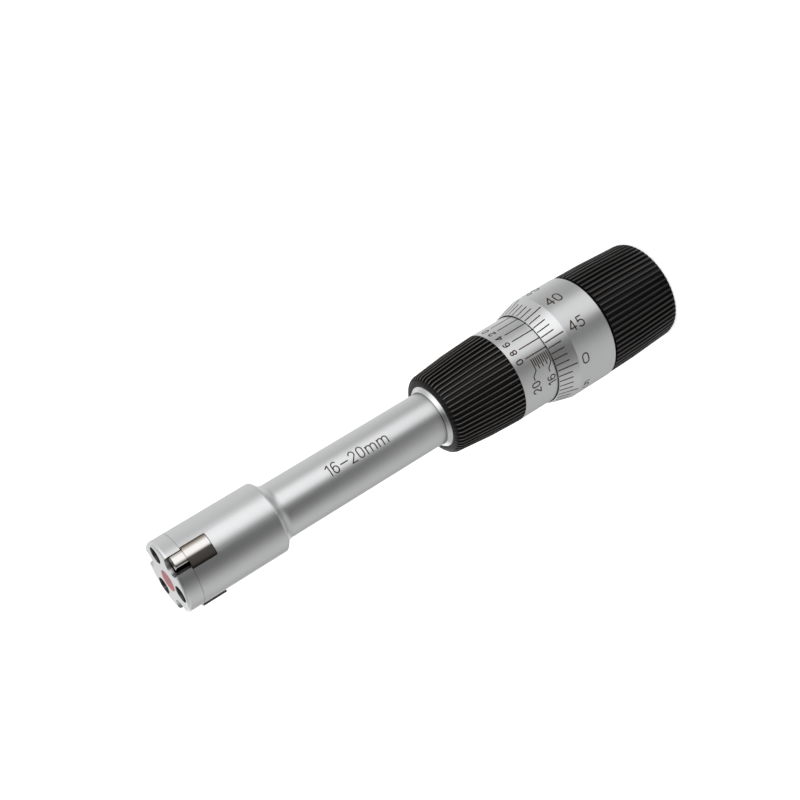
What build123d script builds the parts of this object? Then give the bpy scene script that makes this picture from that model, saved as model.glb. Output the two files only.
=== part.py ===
from build123d import *
import math
import os

# Lengths along the axis, from the knob's flat end up to the head's face
KNOB_LENGTH = 18.15
KNOB_GAP = 0.35
THIMBLE_LENGTH = 14.7
SLEEVE_SHOWN = 8.75
GRIP_LENGTH = 16.65
BEVEL_LENGTH = 0.86
BEVEL_SUNK = 0.1
TUBE_LENGTH = 37.9
NECK_LENGTH = 1.95
HEAD_LENGTH = 22.55

# Clearances: running fits, seats within one body, end gaps, and how far a cut runs past a face
RUN = 0.04
SLOT_RUN = 0.08
SEAT = 0.02
END_GAP = 0.3
OVER = 1.0

# Tube and head
TUBE_R = 5.87
HEAD_R = 7.6
HEAD_EDGE_ROUND = 0.7
NECK_SLOPE_DEG = 50.0
NECK_FILLET = 1.9
NECK_ROUND = 0.6

# Barrel, and the walls of what is built up on it
BARREL_R = 8.92
SLEEVE_WALL = 1.12
GRIP_REAR_WALL = 1.14
GRIP_MIDDLE_WALL = 0.72
THIMBLE_RUN = 0.2
THIMBLE_EDGE_WALL = 0.24
THIMBLE_WALL = 1.53
THIMBLE_CONE_LENGTH = 4.75
THIMBLE_CHAMFER = 0.3
KNOB_INSET = 0.11
KNOB_MIDDLE_INSET = 0.12
KNOB_REAR_INSET = 0.62
KNOB_MIDDLE_Z = 11.0
KNOB_RIM = 0.9
KNOB_RIM_BREAK = 0.26

# Barrel's bevelled nose, and the grip's nose on it
BEVEL_WALL = 1.0
GRIP_NOSE_WALL = 0.31
GRIP_SHOULDER_WALL = 1.96
GRIP_NOSE_LENGTH = 1.7
GRIP_NOSE_BULGE = 0.66
GRIP_NOSE_CROWN = 0.26
GRIP_MIDDLE = 0.46

# Ribs of the knob and the grip
KNOB_RIBS = 60
GRIP_RIBS = 54
KNOB_RIB_TOP = 0.5
GRIP_RIB_TOP = 0.34
GRIP_GROOVE_END = 0.8
RIB_FLARE = 0.2
RIB_DEPTH = 0.42
RIB_RUN_OUT = 3.0

# Anvils, their slots and the cone; depths are measured back from the face
ANVIL_PHASE_DEG = -78.5
ANVIL_COUNT = 3
REST_DIAMETER = 16.1
TRAVEL = 4.545
CONE_RISE = 0.5
CONE_APEX_DEPTH = 1.5
CONE_NOSE_R = 2.15
CONE_R = 4.1
CONE_GUIDE_LENGTH = 6.5
ANVIL_WIDTH = 4.6
ANVIL_REAR_DEPTH = 8.75
ANVIL_CORNER = 0.3
TONGUE_WIDTH = 2.5
TONGUE_OFFSET = 0.5
TONGUE_STEP = 0.45
TONGUE_DEPTH = 0.85
TONGUE_BOTTOM_R = 6.25
CAP_THICKNESS = 3.45
CAP_EDGE_BREAK = 0.06
CAP_SLOT_WIDTH = 3.92
CAP_SLOT_FLOOR_R = 4.8
PLUG_R = 2.3
PLUG_THICKNESS = 0.8
PLUG_OFFSET = 0.5
CAP_CONE_START = 1.1
CAP_CONE_NOSE_R = 2.3
CAP_CONE_R = 3.4
HEAD_BORE_END = 0.6

# Cap screws
SCREW_CIRCLE_R = 5.05
SCREW_RECESS_R = 1.8
SCREW_RECESS_DEPTH = 2.2
SCREW_HEAD_R = 1.6
SCREW_HEAD_HEIGHT = 1.2
SCREW_SOCKET_R = 0.75
SCREW_SOCKET_DEPTH = 0.7
SCREW_SHANK_R = 0.75
SCREW_LENGTH = 5.0

# Leaf springs that pull the anvils back in
LEAF_WIDTH = 0.8
LEAF_THICKNESS = 0.25
LEAF_R = 5.55
LEAF_INSET = 0.35
LEAF_FRONT_DEPTH = 0.9
LEAF_PAD_LENGTH = 1.0
LEAF_END_WALL = 0.4

# Push rod, its bush and its spring
ROD_R = 2.0
ROD_WEB = 4.0
ROD_SCREWED = 4.0
ROD_FLANGE_R = 3.6
ROD_FLANGE_LENGTH = 1.2
ROD_PAD_LENGTH = 0.5
ROD_REAR_OFFSET = 1.04
TUBE_BORE_R = 4.2
ROD_SPRING_LENGTH = 9.4
ROD_SPRING_R = 3.1
ROD_SPRING_TURNS = 6
ROD_SPRING_WIRE = 0.5
BUSH_LENGTH = 4.0

# Barrel, nut and adjusting ring
SPIGOT_R = 5.0
SPIGOT_LENGTH = 9.06
BARREL_SHOULDER = 8.6
NUT_LENGTH = 3.4
NUT_R = 5.4
BARREL_REAR_OFFSET = 5.7
NUT_BORE_LENGTH = 13.8
NUT_RELIEF_R = 4.6
NUT_SLITS = 3
NUT_SLIT_WIDTH = 0.5
RING_R = 7.2
RING_LENGTH = 3.0
RING_NOTCHES = 4
RING_NOTCH_WIDTH = 1.4
RING_NOTCH_DEPTH = 0.9
SLEEVE_REAR = 5.5

# Spindle and thrust ball
SPINDLE_R = 3.5
SPINDLE_NOSE_R = 3.0
SPINDLE_THREAD_LENGTH = 24.1
SPINDLE_REAR_GAP = 0.4
TAPER_REAR_R = 3.0
TAPER_FRONT_R = 3.4
HUB_THICKNESS = 2.0
BALL_R = 1.5
BALL_SEAT_DEPTH = 0.8

# Ratchet inside the knob
RATCHET_FLANGE_R = 6.5
RATCHET_FLANGE = 1.6
RATCHET_HUB_R = 3.5
RATCHET_STUD_R = 1.25
RATCHET_STUD_LENGTH = 6.5
TOOTH_COUNT = 24
TOOTH_HEIGHT = 0.5
TOOTH_INNER_R = 4.6
TOOTH_OUTER_R = 6.2
TOOTH_SUNK = 0.2
TOOTH_GAP = 0.06
PAWL_THICKNESS = 1.6
PAWL_R = 6.3
PAWL_KEY_R = 7.3
PAWL_KEY_WIDTH = 1.6
PAWL_KEYS = 4
KNOB_CAVITY_R = 6.7
KNOB_WEB_FRONT = 8.4
KNOB_WEB_REAR = 6.0
KNOB_DISC_R = 8.6
KNOB_DISC_THICKNESS = 1.4
WASHER_R = 5.0
WASHER_THICKNESS = 0.7
WASHER_GAP = 0.1
RATCHET_SCREW_HEAD_R = 2.6
RATCHET_SCREW_HEAD = 2.0
RATCHET_SCREW_LENGTH = 6.0
RATCHET_SLOT_WIDTH = 0.6
RATCHET_SLOT_DEPTH = 0.8
RATCHET_SPRING_R = 5.3
RATCHET_SPRING_WIRE = 0.6
RATCHET_SPRING_TURNS = 4

# Radii that follow from the walls
BEVEL_R = TUBE_R + SEAT + BEVEL_WALL
SLEEVE_R = BARREL_R + SEAT + SLEEVE_WALL
GRIP_REAR_R = BARREL_R + SEAT + GRIP_REAR_WALL
GRIP_MIDDLE_R = BARREL_R + SEAT + GRIP_MIDDLE_WALL
GRIP_SHOULDER_R = BEVEL_R + SEAT + GRIP_SHOULDER_WALL
GRIP_NOSE_R = BEVEL_R + SEAT + GRIP_NOSE_WALL
THIMBLE_BORE_R = SLEEVE_R + THIMBLE_RUN
THIMBLE_EDGE_R = THIMBLE_BORE_R + THIMBLE_EDGE_WALL
THIMBLE_R = THIMBLE_BORE_R + THIMBLE_WALL
KNOB_FRONT_R = THIMBLE_R - KNOB_INSET
KNOB_MIDDLE_R = KNOB_FRONT_R - KNOB_MIDDLE_INSET
KNOB_REAR_R = KNOB_FRONT_R - KNOB_REAR_INSET

# Heights along the axis that follow from the lengths
THIMBLE_REAR = KNOB_LENGTH + KNOB_GAP
THIMBLE_EDGE = THIMBLE_REAR + THIMBLE_LENGTH
GRIP_REAR = THIMBLE_EDGE + SLEEVE_SHOWN
GRIP_FRONT = GRIP_REAR + GRIP_LENGTH
BEVEL_START = GRIP_FRONT - BEVEL_SUNK
SEAM = BEVEL_START + BEVEL_LENGTH
NECK_START = SEAM + TUBE_LENGTH
HEAD_REAR = NECK_START + NECK_LENGTH
FACE = HEAD_REAR + HEAD_LENGTH
CAP_SEAT = FACE - CAP_THICKNESS
ANVIL_REAR = FACE - ANVIL_REAR_DEPTH
CONE_START = FACE - CONE_APEX_DEPTH - CONE_R / CONE_RISE
CONE_REAR = CONE_START - CONE_GUIDE_LENGTH
HEAD_BORE_R = CONE_R + RUN
HEAD_BORE_BOTTOM = CONE_REAR - HEAD_BORE_END
WEB_REAR = HEAD_BORE_BOTTOM - ROD_WEB
SPIGOT_REAR = SEAM - SPIGOT_LENGTH
ROD_REAR = SEAM + ROD_REAR_OFFSET
FLANGE_FRONT = ROD_REAR + ROD_PAD_LENGTH + ROD_FLANGE_LENGTH
BUSH_REAR = FLANGE_FRONT + ROD_SPRING_LENGTH
BALL_CENTRE = ROD_REAR - BALL_R
SPINDLE_FRONT = BALL_CENTRE + BALL_SEAT_DEPTH
HUB_FRONT = THIMBLE_REAR + HUB_THICKNESS
SPINDLE_REAR = THIMBLE_REAR + SPINDLE_REAR_GAP
BARREL_REAR = HUB_FRONT + BARREL_REAR_OFFSET
NUT_SHOULDER = BARREL_REAR + NUT_LENGTH
BARREL_STEP = GRIP_FRONT - BARREL_SHOULDER
FLANGE_REAR = THIMBLE_REAR - RATCHET_FLANGE
PAWL_FRONT = FLANGE_REAR - 2 * TOOTH_HEIGHT - TOOTH_GAP
PAWL_REAR = PAWL_FRONT - PAWL_THICKNESS
WASHER_FRONT = KNOB_WEB_REAR - WASHER_GAP
WASHER_REAR = WASHER_FRONT - WASHER_THICKNESS


def turned(*curves):
    """A solid of revolution about Z from an outline in the XZ plane."""
    return revolve(make_face([edge for curve in curves for edge in curve.edges()]), Axis.Z)


def line(*points):
    """Straight runs through (radius, height) points."""
    return Polyline([(r, 0, z) for r, z in points])


def ring(inner, outer, low, high):
    """A plain ring, or a disc where the inner radius is zero."""
    return turned(line((inner, low), (outer, low), (outer, high), (inner, high), (inner, low)))


def block(x0, x1, y0, y1, z0, z1):
    """A box between two corners."""
    return Pos((x0 + x1) / 2, (y0 + y1) / 2, (z0 + z1) / 2) * Box(x1 - x0, y1 - y0, z1 - z0)


def rounded(before, corner, after, radius):
    """Round a corner of an outline: the arc's start, the arc itself and its end."""
    at, back, on = [Vector(r, 0, z) for r, z in (corner, before, after)]
    back = (back - at).normalized()
    on = (on - at).normalized()
    half = math.radians(back.get_angle(on) / 2)
    start = at + back * (radius / math.tan(half))
    end = at + on * (radius / math.tan(half))
    middle = at + (back + on).normalized() * (radius / math.sin(half) - radius)
    return (start.X, start.Z), ThreePointArc(start, middle, end), (end.X, end.Z)


def around(solid, count, phase=0.0):
    """Copies of a solid, evenly spaced about Z."""
    return [Rot(0, 0, phase + i * 360 / count) * solid for i in range(count)]


def anvil_turns():
    """The angle about Z of each anvil."""
    return [ANVIL_PHASE_DEG + i * 360 / ANVIL_COUNT for i in range(ANVIL_COUNT)]


def coil(radius, wire, low, high, turns):
    """A coil spring of square wire between two flat seats."""
    pitch = (high - low - wire) / turns
    path = Helix(pitch, pitch * turns, radius, center=(0, 0, low + wire / 2))
    section = Plane(origin=path @ 0, x_dir=(1, 0, 0), z_dir=path % 0) * Rectangle(wire, wire)
    return sweep(section, path, is_frenet=True)


# Measuring head and tube

def neck_outline():
    """From the tube up to the head: a concave fillet, a short slope and a rounded shoulder."""
    foot = (TUBE_R, HEAD_REAR - (HEAD_R - TUBE_R) / math.tan(math.radians(NECK_SLOPE_DEG)))
    shoulder = (HEAD_R, HEAD_REAR)
    low, hollow, slope_start = rounded((TUBE_R, SEAM), foot, shoulder, NECK_FILLET)
    slope_end, crown, high = rounded(foot, shoulder, (HEAD_R, FACE), NECK_ROUND)
    return low, [hollow, line(slope_start, slope_end), crown], high


def anvil_slot():
    """The slot for an anvil, cut from the head's front end, along +X."""
    half = ANVIL_WIDTH / 2 + SLOT_RUN
    rear = ANVIL_REAR - SLOT_RUN
    front = FACE + OVER
    plan = make_face(Polyline([(-half, rear), (half, rear), (half, front), (-half, front), (-half, rear)]))
    slot = extrude(Plane.YZ * plan, HEAD_R + OVER)
    corners = slot.edges().filter_by(Axis.X).group_by(Axis.Z)[0]
    return fillet(corners, ANVIL_CORNER)


def screw_hole(radius, low, high):
    """A round hole for a cap screw, midway between two anvils."""
    return Pos(SCREW_CIRCLE_R, 0, (low + high) / 2) * Cylinder(radius, high - low)


def head_body():
    low, neck, high = neck_outline()
    outline = [
        line((TUBE_BORE_R, SPIGOT_REAR + END_GAP), (SPIGOT_R, SPIGOT_REAR + END_GAP),
             (SPIGOT_R, SEAM), (TUBE_R, SEAM), low),
        *neck,
        line(high, (HEAD_R, CAP_SEAT), (HEAD_BORE_R, CAP_SEAT),
             (HEAD_BORE_R, HEAD_BORE_BOTTOM), (ROD_R + RUN, HEAD_BORE_BOTTOM),
             (ROD_R + RUN, WEB_REAR), (TUBE_BORE_R, WEB_REAR), (TUBE_BORE_R, SPIGOT_REAR + END_GAP)),
    ]
    body = turned(*outline)
    tapped = screw_hole(SCREW_SHANK_R + SEAT, screw_tip() - END_GAP, CAP_SEAT + OVER)
    body -= around(anvil_slot(), ANVIL_COUNT, ANVIL_PHASE_DEG)
    return body - around(tapped, ANVIL_COUNT, ANVIL_PHASE_DEG + 180 / ANVIL_COUNT)


def cap_slot():
    """Round-bottomed channel in the cap for an anvil's tongue, along +X."""
    radius = CAP_SLOT_WIDTH / 2
    centre = CAP_SLOT_FLOOR_R + radius
    low, high = CAP_SEAT - OVER, FACE + OVER
    bottom = Pos(centre, 0, (low + high) / 2) * Cylinder(radius, high - low)
    return bottom + block(centre, HEAD_R + OVER, -radius, radius, low, high)


def leaf_slit():
    """The slit in the cap that holds the root of a leaf spring."""
    y1 = -ANVIL_WIDTH / 2 + LEAF_INSET + LEAF_WIDTH + SEAT
    y0 = y1 - LEAF_WIDTH - 2 * SEAT
    front = FACE - LEAF_FRONT_DEPTH + SEAT
    return block(LEAF_R - SEAT, LEAF_R + LEAF_THICKNESS + SEAT, y0, y1, CAP_SEAT - OVER, front)


def end_cap():
    floor = FACE - CAP_CONE_START
    rim, edge, flat = rounded((HEAD_R, CAP_SEAT), (HEAD_R, FACE), (0, FACE), HEAD_EDGE_ROUND)
    inside = line(flat, (0, FACE), (0, floor), (CAP_CONE_NOSE_R, floor), (CAP_CONE_R, CAP_SEAT),
                  (HEAD_R - CAP_EDGE_BREAK, CAP_SEAT), (HEAD_R, CAP_SEAT + CAP_EDGE_BREAK), rim)
    pocket = FACE - PLUG_THICKNESS - SEAT
    cap = turned(edge, inside) - off_centre(ring(0, PLUG_R, pocket, FACE + OVER))
    recess = screw_hole(SCREW_RECESS_R, FACE - SCREW_RECESS_DEPTH, FACE + OVER)
    through = screw_hole(SCREW_SHANK_R + SEAT, CAP_SEAT - OVER, FACE)
    cap -= around(cap_slot() + leaf_slit(), ANVIL_COUNT, ANVIL_PHASE_DEG)
    return cap - around(recess + through, ANVIL_COUNT, ANVIL_PHASE_DEG + 180 / ANVIL_COUNT)


def screw_tip():
    """Height of the cap screws' lower ends."""
    return FACE - SCREW_RECESS_DEPTH - SCREW_LENGTH


def cap_screws():
    seat = FACE - SCREW_RECESS_DEPTH
    head = screw_hole(SCREW_HEAD_R, seat, seat + SCREW_HEAD_HEIGHT)
    shank = screw_hole(SCREW_SHANK_R, screw_tip(), seat)
    top = seat + SCREW_HEAD_HEIGHT
    hexagon = extrude(Pos(SCREW_CIRCLE_R, 0, top) * RegularPolygon(SCREW_SOCKET_R, 6), -SCREW_SOCKET_DEPTH)
    screw = head + shank - hexagon
    return around(screw, ANVIL_COUNT, ANVIL_PHASE_DEG + 180 / ANVIL_COUNT)


def off_centre(solid):
    """Move the plug, or its pocket, a little off the axis."""
    return Pos(-PLUG_OFFSET, 0, 0) * solid


def centre_plug():
    return off_centre(ring(0, PLUG_R - SEAT, FACE - PLUG_THICKNESS, FACE))


# Anvils, leaf springs and cone

def cone_radius(depth):
    """Radius of the cone's flank at a depth behind the face, with the anvils at rest."""
    return CONE_RISE * (depth - CONE_APEX_DEPTH)


def anvil():
    """One anvil, pointing along +X: a wide foot on the cone, and a tongue in the cap's slot."""
    top = REST_DIAMETER / 2
    half = ANVIL_WIDTH / 2
    reach = top + OVER
    front = CAP_SEAT - RUN
    foot_front = cone_radius(FACE - front)
    foot_rear = cone_radius(ANVIL_REAR_DEPTH)
    side = make_face(Polyline([
        (foot_front, 0, front), (reach, 0, front), (reach, 0, ANVIL_REAR),
        (foot_rear, 0, ANVIL_REAR), (foot_front, 0, front),
    ]))
    foot = extrude(side, half, both=True)
    corners = foot.edges().filter_by(Axis.X).group_by(Axis.Z)[0]
    foot = fillet(corners, ANVIL_CORNER)
    spread = (reach - RUN) * math.tan(math.pi / ANVIL_COUNT)
    third = make_face(Polyline([(RUN, 0), (reach, spread), (reach, -spread), (RUN, 0)]))
    wedge = extrude(Pos(0, 0, ANVIL_REAR - OVER) * third, ANVIL_REAR_DEPTH)
    low = TONGUE_OFFSET - TONGUE_WIDTH / 2
    high = TONGUE_OFFSET + TONGUE_WIDTH / 2
    tongue = block(TONGUE_BOTTOM_R, reach, low, high, front - RUN, FACE - TONGUE_DEPTH)
    body = (foot & wedge & upright(top)) + (tongue & upright(top - TONGUE_STEP))
    return body - leaf_pocket()


def upright(radius):
    """A cylinder about Z that reaches past both ends of the anvils."""
    return Pos(0, 0, FACE - ANVIL_REAR_DEPTH / 2) * Cylinder(radius, ANVIL_REAR_DEPTH + 2 * OVER)


def leaf_pocket():
    """The groove in an anvil's side for its leaf spring, with a raised pad under the spring's end."""
    side = -ANVIL_WIDTH / 2
    inner = side + LEAF_INSET + LEAF_WIDTH + RUN
    roof = LEAF_R + LEAF_THICKNESS + RUN
    rear = ANVIL_REAR + LEAF_END_WALL
    pad_front = rear + LEAF_PAD_LENGTH
    floor = LEAF_R - TRAVEL * CONE_RISE - RUN
    groove = block(floor, roof, side - OVER, inner, pad_front, CAP_SEAT + OVER)
    return groove + block(LEAF_R - RUN, roof, side - OVER, inner, rear, pad_front + RUN)


def leaf_spring():
    """A flat leaf, rooted in the cap and resting on the pad of its anvil."""
    y0 = -ANVIL_WIDTH / 2 + LEAF_INSET
    rear = ANVIL_REAR + LEAF_END_WALL + RUN
    return block(LEAF_R, LEAF_R + LEAF_THICKNESS, y0, y0 + LEAF_WIDTH, rear, FACE - LEAF_FRONT_DEPTH)


def measuring_cone():
    flank = SEAT / 2
    nose = FACE - CONE_APEX_DEPTH - CONE_NOSE_R / CONE_RISE
    socket = CONE_REAR + ROD_SCREWED
    return turned(line(
        (0, nose), (CONE_NOSE_R - flank, nose), (CONE_R - flank, CONE_START), (CONE_R, CONE_START - flank),
        (CONE_R, CONE_REAR), (ROD_R + SEAT, CONE_REAR), (ROD_R + SEAT, socket), (0, socket), (0, nose),
    ))


# Push rod, bush and spring

def push_rod():
    flange = FLANGE_FRONT - ROD_FLANGE_LENGTH
    return turned(line(
        (0, ROD_REAR), (ROD_R, ROD_REAR), (ROD_R, flange), (ROD_FLANGE_R, flange),
        (ROD_FLANGE_R, FLANGE_FRONT), (ROD_R, FLANGE_FRONT), (ROD_R, CONE_REAR + ROD_SCREWED - SEAT),
        (0, CONE_REAR + ROD_SCREWED - SEAT), (0, ROD_REAR),
    ))


def rod_bush():
    return ring(ROD_R + RUN, TUBE_BORE_R - SEAT, BUSH_REAR, BUSH_REAR + BUSH_LENGTH)


def rod_spring():
    return coil(ROD_SPRING_R, ROD_SPRING_WIRE, FLANGE_FRONT + SEAT, BUSH_REAR - SEAT, ROD_SPRING_TURNS)


# Barrel, grip, sleeve and nut

def barrel():
    bore = SPIGOT_R + SEAT
    relief = BARREL_REAR + NUT_BORE_LENGTH
    body = turned(line(
        (SPINDLE_R + RUN, BARREL_REAR), (NUT_R, BARREL_REAR), (NUT_R, NUT_SHOULDER),
        (BARREL_R, NUT_SHOULDER), (BARREL_R, BARREL_STEP), (BEVEL_R, BARREL_STEP), (BEVEL_R, BEVEL_START),
        (TUBE_R + SEAT, SEAM), (bore, SEAM), (bore, SPIGOT_REAR),
        (NUT_RELIEF_R, SPIGOT_REAR), (NUT_RELIEF_R, relief), (SPINDLE_R + RUN, relief),
        (SPINDLE_R + RUN, BARREL_REAR),
    ))
    half = NUT_SLIT_WIDTH / 2
    slit = block(SPINDLE_R - RUN, NUT_R + RUN, -half, half, BARREL_REAR - OVER, NUT_SHOULDER - END_GAP)
    return body - around(slit, NUT_SLITS)


def grip_outline(inset):
    """The grip's outer outline, or its rib floor where it is set in."""
    rear = (GRIP_REAR_R - inset, 0, GRIP_REAR)
    middle_z = GRIP_REAR + GRIP_LENGTH * GRIP_MIDDLE
    shoulder_z = GRIP_FRONT - GRIP_NOSE_LENGTH
    middle = (GRIP_MIDDLE_R - inset, 0, middle_z)
    shoulder = (GRIP_SHOULDER_R - inset, 0, shoulder_z)
    return rear, middle, shoulder


def front_grip():
    rear, middle, shoulder = grip_outline(0)
    bore = BARREL_R + SEAT
    nose = (GRIP_NOSE_R, 0, GRIP_FRONT)
    bulge = GRIP_NOSE_R + (GRIP_SHOULDER_R - GRIP_NOSE_R) * GRIP_NOSE_BULGE
    crown = (bulge, 0, GRIP_FRONT - GRIP_NOSE_LENGTH * GRIP_NOSE_CROWN)
    inner = BEVEL_R + SEAT
    inside = line((GRIP_NOSE_R, GRIP_FRONT), (inner, GRIP_FRONT), (inner, BARREL_STEP),
                  (bore, BARREL_STEP), (bore, GRIP_REAR), (GRIP_REAR_R, GRIP_REAR))
    full = turned(Polyline([rear, middle, shoulder]), ThreePointArc(shoulder, crown, nose), inside)
    low, mid, high = grip_outline(RIB_DEPTH)
    groove_end = (GRIP_NOSE_R + GRIP_GROOVE_END, 0, GRIP_FRONT)
    floor = turned(Polyline([
        low, mid, high, groove_end, (0, 0, GRIP_FRONT), (0, 0, GRIP_REAR), low,
    ]))
    return ribbed(full, floor, GRIP_RIBS, GRIP_RIB_TOP, rear, shoulder)


def ribbed(full, floor, count, top, rear, front):
    """Cut the gaps between straight ribs out of a turned solid, down to the floor's surface.

    The gaps run along the flank from its rear point to its front point.
    """
    pitch = 2 * math.pi * rear[0] / count
    wide = (pitch - top) / 2
    narrow = wide - RIB_FLARE
    wider = wide + OVER * RIB_FLARE / RIB_DEPTH
    under = -2 * RIB_DEPTH
    flank = Vector(*front) - Vector(*rear)
    along = flank.normalized()
    outward = Vector(along.Z, 0, -along.X)
    section = make_face(Polyline([
        (under, -narrow), (-RIB_DEPTH, -narrow), (OVER, -wider),
        (OVER, wider), (-RIB_DEPTH, narrow), (under, narrow), (under, -narrow),
    ]))
    start = Plane(origin=Vector(*rear) - along * RIB_RUN_OUT, x_dir=outward, z_dir=along)
    gap = extrude(start * section, flank.length + 2 * RIB_RUN_OUT)
    return full - around(gap - floor, count)


def sleeve():
    return ring(BARREL_R + SEAT, SLEEVE_R, HUB_FRONT + SLEEVE_REAR, GRIP_REAR)


def adjusting_ring():
    low = BARREL_REAR + END_GAP
    notch_z = low + RING_NOTCH_DEPTH
    half = RING_NOTCH_WIDTH / 2
    notch = block(NUT_R + RUN, RING_R + OVER, -half, half, low - OVER, notch_z)
    return ring(NUT_R + SEAT, RING_R, low, low + RING_LENGTH) - around(notch, RING_NOTCHES)


# Spindle, thimble and ball

def spindle():
    front = SPINDLE_FRONT
    thread_front = HUB_FRONT + END_GAP + SPINDLE_THREAD_LENGTH
    flare = (TAPER_FRONT_R - TAPER_REAR_R) / HUB_THICKNESS
    rear_r = TAPER_REAR_R + flare * SPINDLE_REAR_GAP - SEAT
    hole = RATCHET_STUD_R + SEAT
    hole_top = THIMBLE_REAR + RATCHET_STUD_LENGTH + END_GAP
    body = turned(line(
        (hole, SPINDLE_REAR), (rear_r, SPINDLE_REAR), (TAPER_FRONT_R - SEAT, HUB_FRONT),
        (TAPER_FRONT_R - SEAT, HUB_FRONT + END_GAP), (SPINDLE_R, HUB_FRONT + END_GAP),
        (SPINDLE_R, thread_front), (SPINDLE_NOSE_R, thread_front), (SPINDLE_NOSE_R, front), (0, front),
        (0, hole_top), (hole, hole_top),
        (hole, SPINDLE_REAR),
    ))
    return body - Pos(0, 0, BALL_CENTRE) * Sphere(BALL_R + SEAT)


def thrust_ball():
    return Pos(0, 0, BALL_CENTRE - SEAT) * Sphere(BALL_R)


def thimble():
    bore = THIMBLE_BORE_R
    break_z = THIMBLE_EDGE - THIMBLE_CONE_LENGTH
    return turned(line(
        (TAPER_REAR_R, THIMBLE_REAR), (THIMBLE_R - THIMBLE_CHAMFER, THIMBLE_REAR),
        (THIMBLE_R, THIMBLE_REAR + THIMBLE_CHAMFER), (THIMBLE_R, break_z), (THIMBLE_EDGE_R, THIMBLE_EDGE),
        (bore, THIMBLE_EDGE), (bore, HUB_FRONT), (TAPER_FRONT_R, HUB_FRONT), (TAPER_REAR_R, THIMBLE_REAR),
    ))


# Ratchet and knob

def teeth(root, height):
    """A ring of saw teeth on a flat face, pointing up or down from root."""
    peak = math.copysign(math.pi * TOOTH_INNER_R / TOOTH_COUNT, -height)
    base = root - math.copysign(TOOTH_SUNK, height)
    corners = [(-peak, base), (peak, base), (peak, root + height), (-peak, root), (-peak, base)]
    profile = Plane.YZ.offset(TOOTH_INNER_R) * make_face(Polyline(corners))
    tooth = extrude(profile, TOOTH_OUTER_R - TOOTH_INNER_R)
    return around(tooth, TOOTH_COUNT)


def ratchet_body():
    stud_tip = THIMBLE_REAR + RATCHET_STUD_LENGTH
    hole = RATCHET_STUD_R + SEAT
    hole_top = WASHER_FRONT + RATCHET_SCREW_LENGTH + END_GAP
    body = turned(line(
        (hole, WASHER_FRONT), (RATCHET_HUB_R, WASHER_FRONT), (RATCHET_HUB_R, FLANGE_REAR),
        (RATCHET_FLANGE_R, FLANGE_REAR), (RATCHET_FLANGE_R, THIMBLE_REAR), (RATCHET_STUD_R, THIMBLE_REAR),
        (RATCHET_STUD_R, stud_tip), (0, stud_tip), (0, hole_top), (hole, hole_top), (hole, WASHER_FRONT),
    ))
    return body + teeth(FLANGE_REAR, -TOOTH_HEIGHT)


def pawl_ring():
    body = ring(RATCHET_HUB_R + RUN, PAWL_R, PAWL_REAR, PAWL_FRONT)
    half = PAWL_KEY_WIDTH / 2
    key = block(PAWL_R - OVER, PAWL_KEY_R, -half, half, PAWL_REAR, PAWL_FRONT)
    return body + around(key, PAWL_KEYS) + teeth(PAWL_FRONT, TOOTH_HEIGHT)


def ratchet_spring():
    low = KNOB_WEB_FRONT + SEAT
    return coil(RATCHET_SPRING_R, RATCHET_SPRING_WIRE, low, PAWL_REAR - SEAT, RATCHET_SPRING_TURNS)


def ratchet_washer():
    return ring(RATCHET_STUD_R + SEAT, WASHER_R, WASHER_REAR, WASHER_FRONT)


def ratchet_screw():
    head = ring(0, RATCHET_SCREW_HEAD_R, WASHER_REAR - RATCHET_SCREW_HEAD, WASHER_REAR)
    shank = ring(0, RATCHET_STUD_R, WASHER_REAR, WASHER_FRONT + RATCHET_SCREW_LENGTH)
    bottom = WASHER_REAR - RATCHET_SCREW_HEAD
    half = RATCHET_SLOT_WIDTH / 2
    reach = RATCHET_SCREW_HEAD_R + OVER
    return head + shank - block(-reach, reach, -half, half, bottom - OVER, bottom + RATCHET_SLOT_DEPTH)


def knob_outline(inset):
    """Corner points of the knob's outer outline, or of its rib floor where it is set in."""
    return (
        (KNOB_REAR_R - KNOB_RIM - inset, 0, 0), (KNOB_REAR_R - inset, 0, KNOB_RIM),
        (KNOB_MIDDLE_R - inset, 0, KNOB_MIDDLE_Z), (KNOB_FRONT_R - inset, 0, KNOB_LENGTH),
    )


def knob():
    foot, rim, middle, front = knob_outline(0)
    corner = (KNOB_REAR_R - KNOB_RIM_BREAK, 0, KNOB_RIM_BREAK)
    top = (0, 0, KNOB_LENGTH)
    full = turned(Polyline([foot, corner, rim, middle, front, top, (0, 0, 0), foot]))
    low_rim, low_middle, low_front = knob_outline(RIB_DEPTH)[1:]
    under = (low_rim[0], 0, -OVER)
    floor = turned(Polyline([under, low_rim, low_middle, low_front, top, (0, 0, -OVER), under]))
    shell = ribbed(full, floor, KNOB_RIBS, KNOB_RIB_TOP, rim, front)
    shell -= ring(0, KNOB_CAVITY_R, KNOB_WEB_FRONT, KNOB_LENGTH + OVER)
    shell -= ring(0, RATCHET_HUB_R + RUN, 0, KNOB_LENGTH)
    shell -= ring(0, KNOB_DISC_R, -OVER, KNOB_WEB_REAR)
    half = PAWL_KEY_WIDTH / 2 + RUN
    keyway = block(0, PAWL_KEY_R + RUN, -half, half, KNOB_WEB_FRONT, KNOB_LENGTH + OVER)
    return shell - around(keyway, PAWL_KEYS)


def knob_end_disc():
    return ring(0, KNOB_DISC_R - SEAT, 0, KNOB_DISC_THICKNESS)


def write(name, shape):
    """Write one node, as one solid or a group of separate solids."""
    solids = shape if isinstance(shape, list) else [shape]
    parts = [solid for item in solids for solid in item.solids()]
    export_step(parts[0] if len(parts) == 1 else Compound(children=parts), f"parts/{name}.step")


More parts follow.
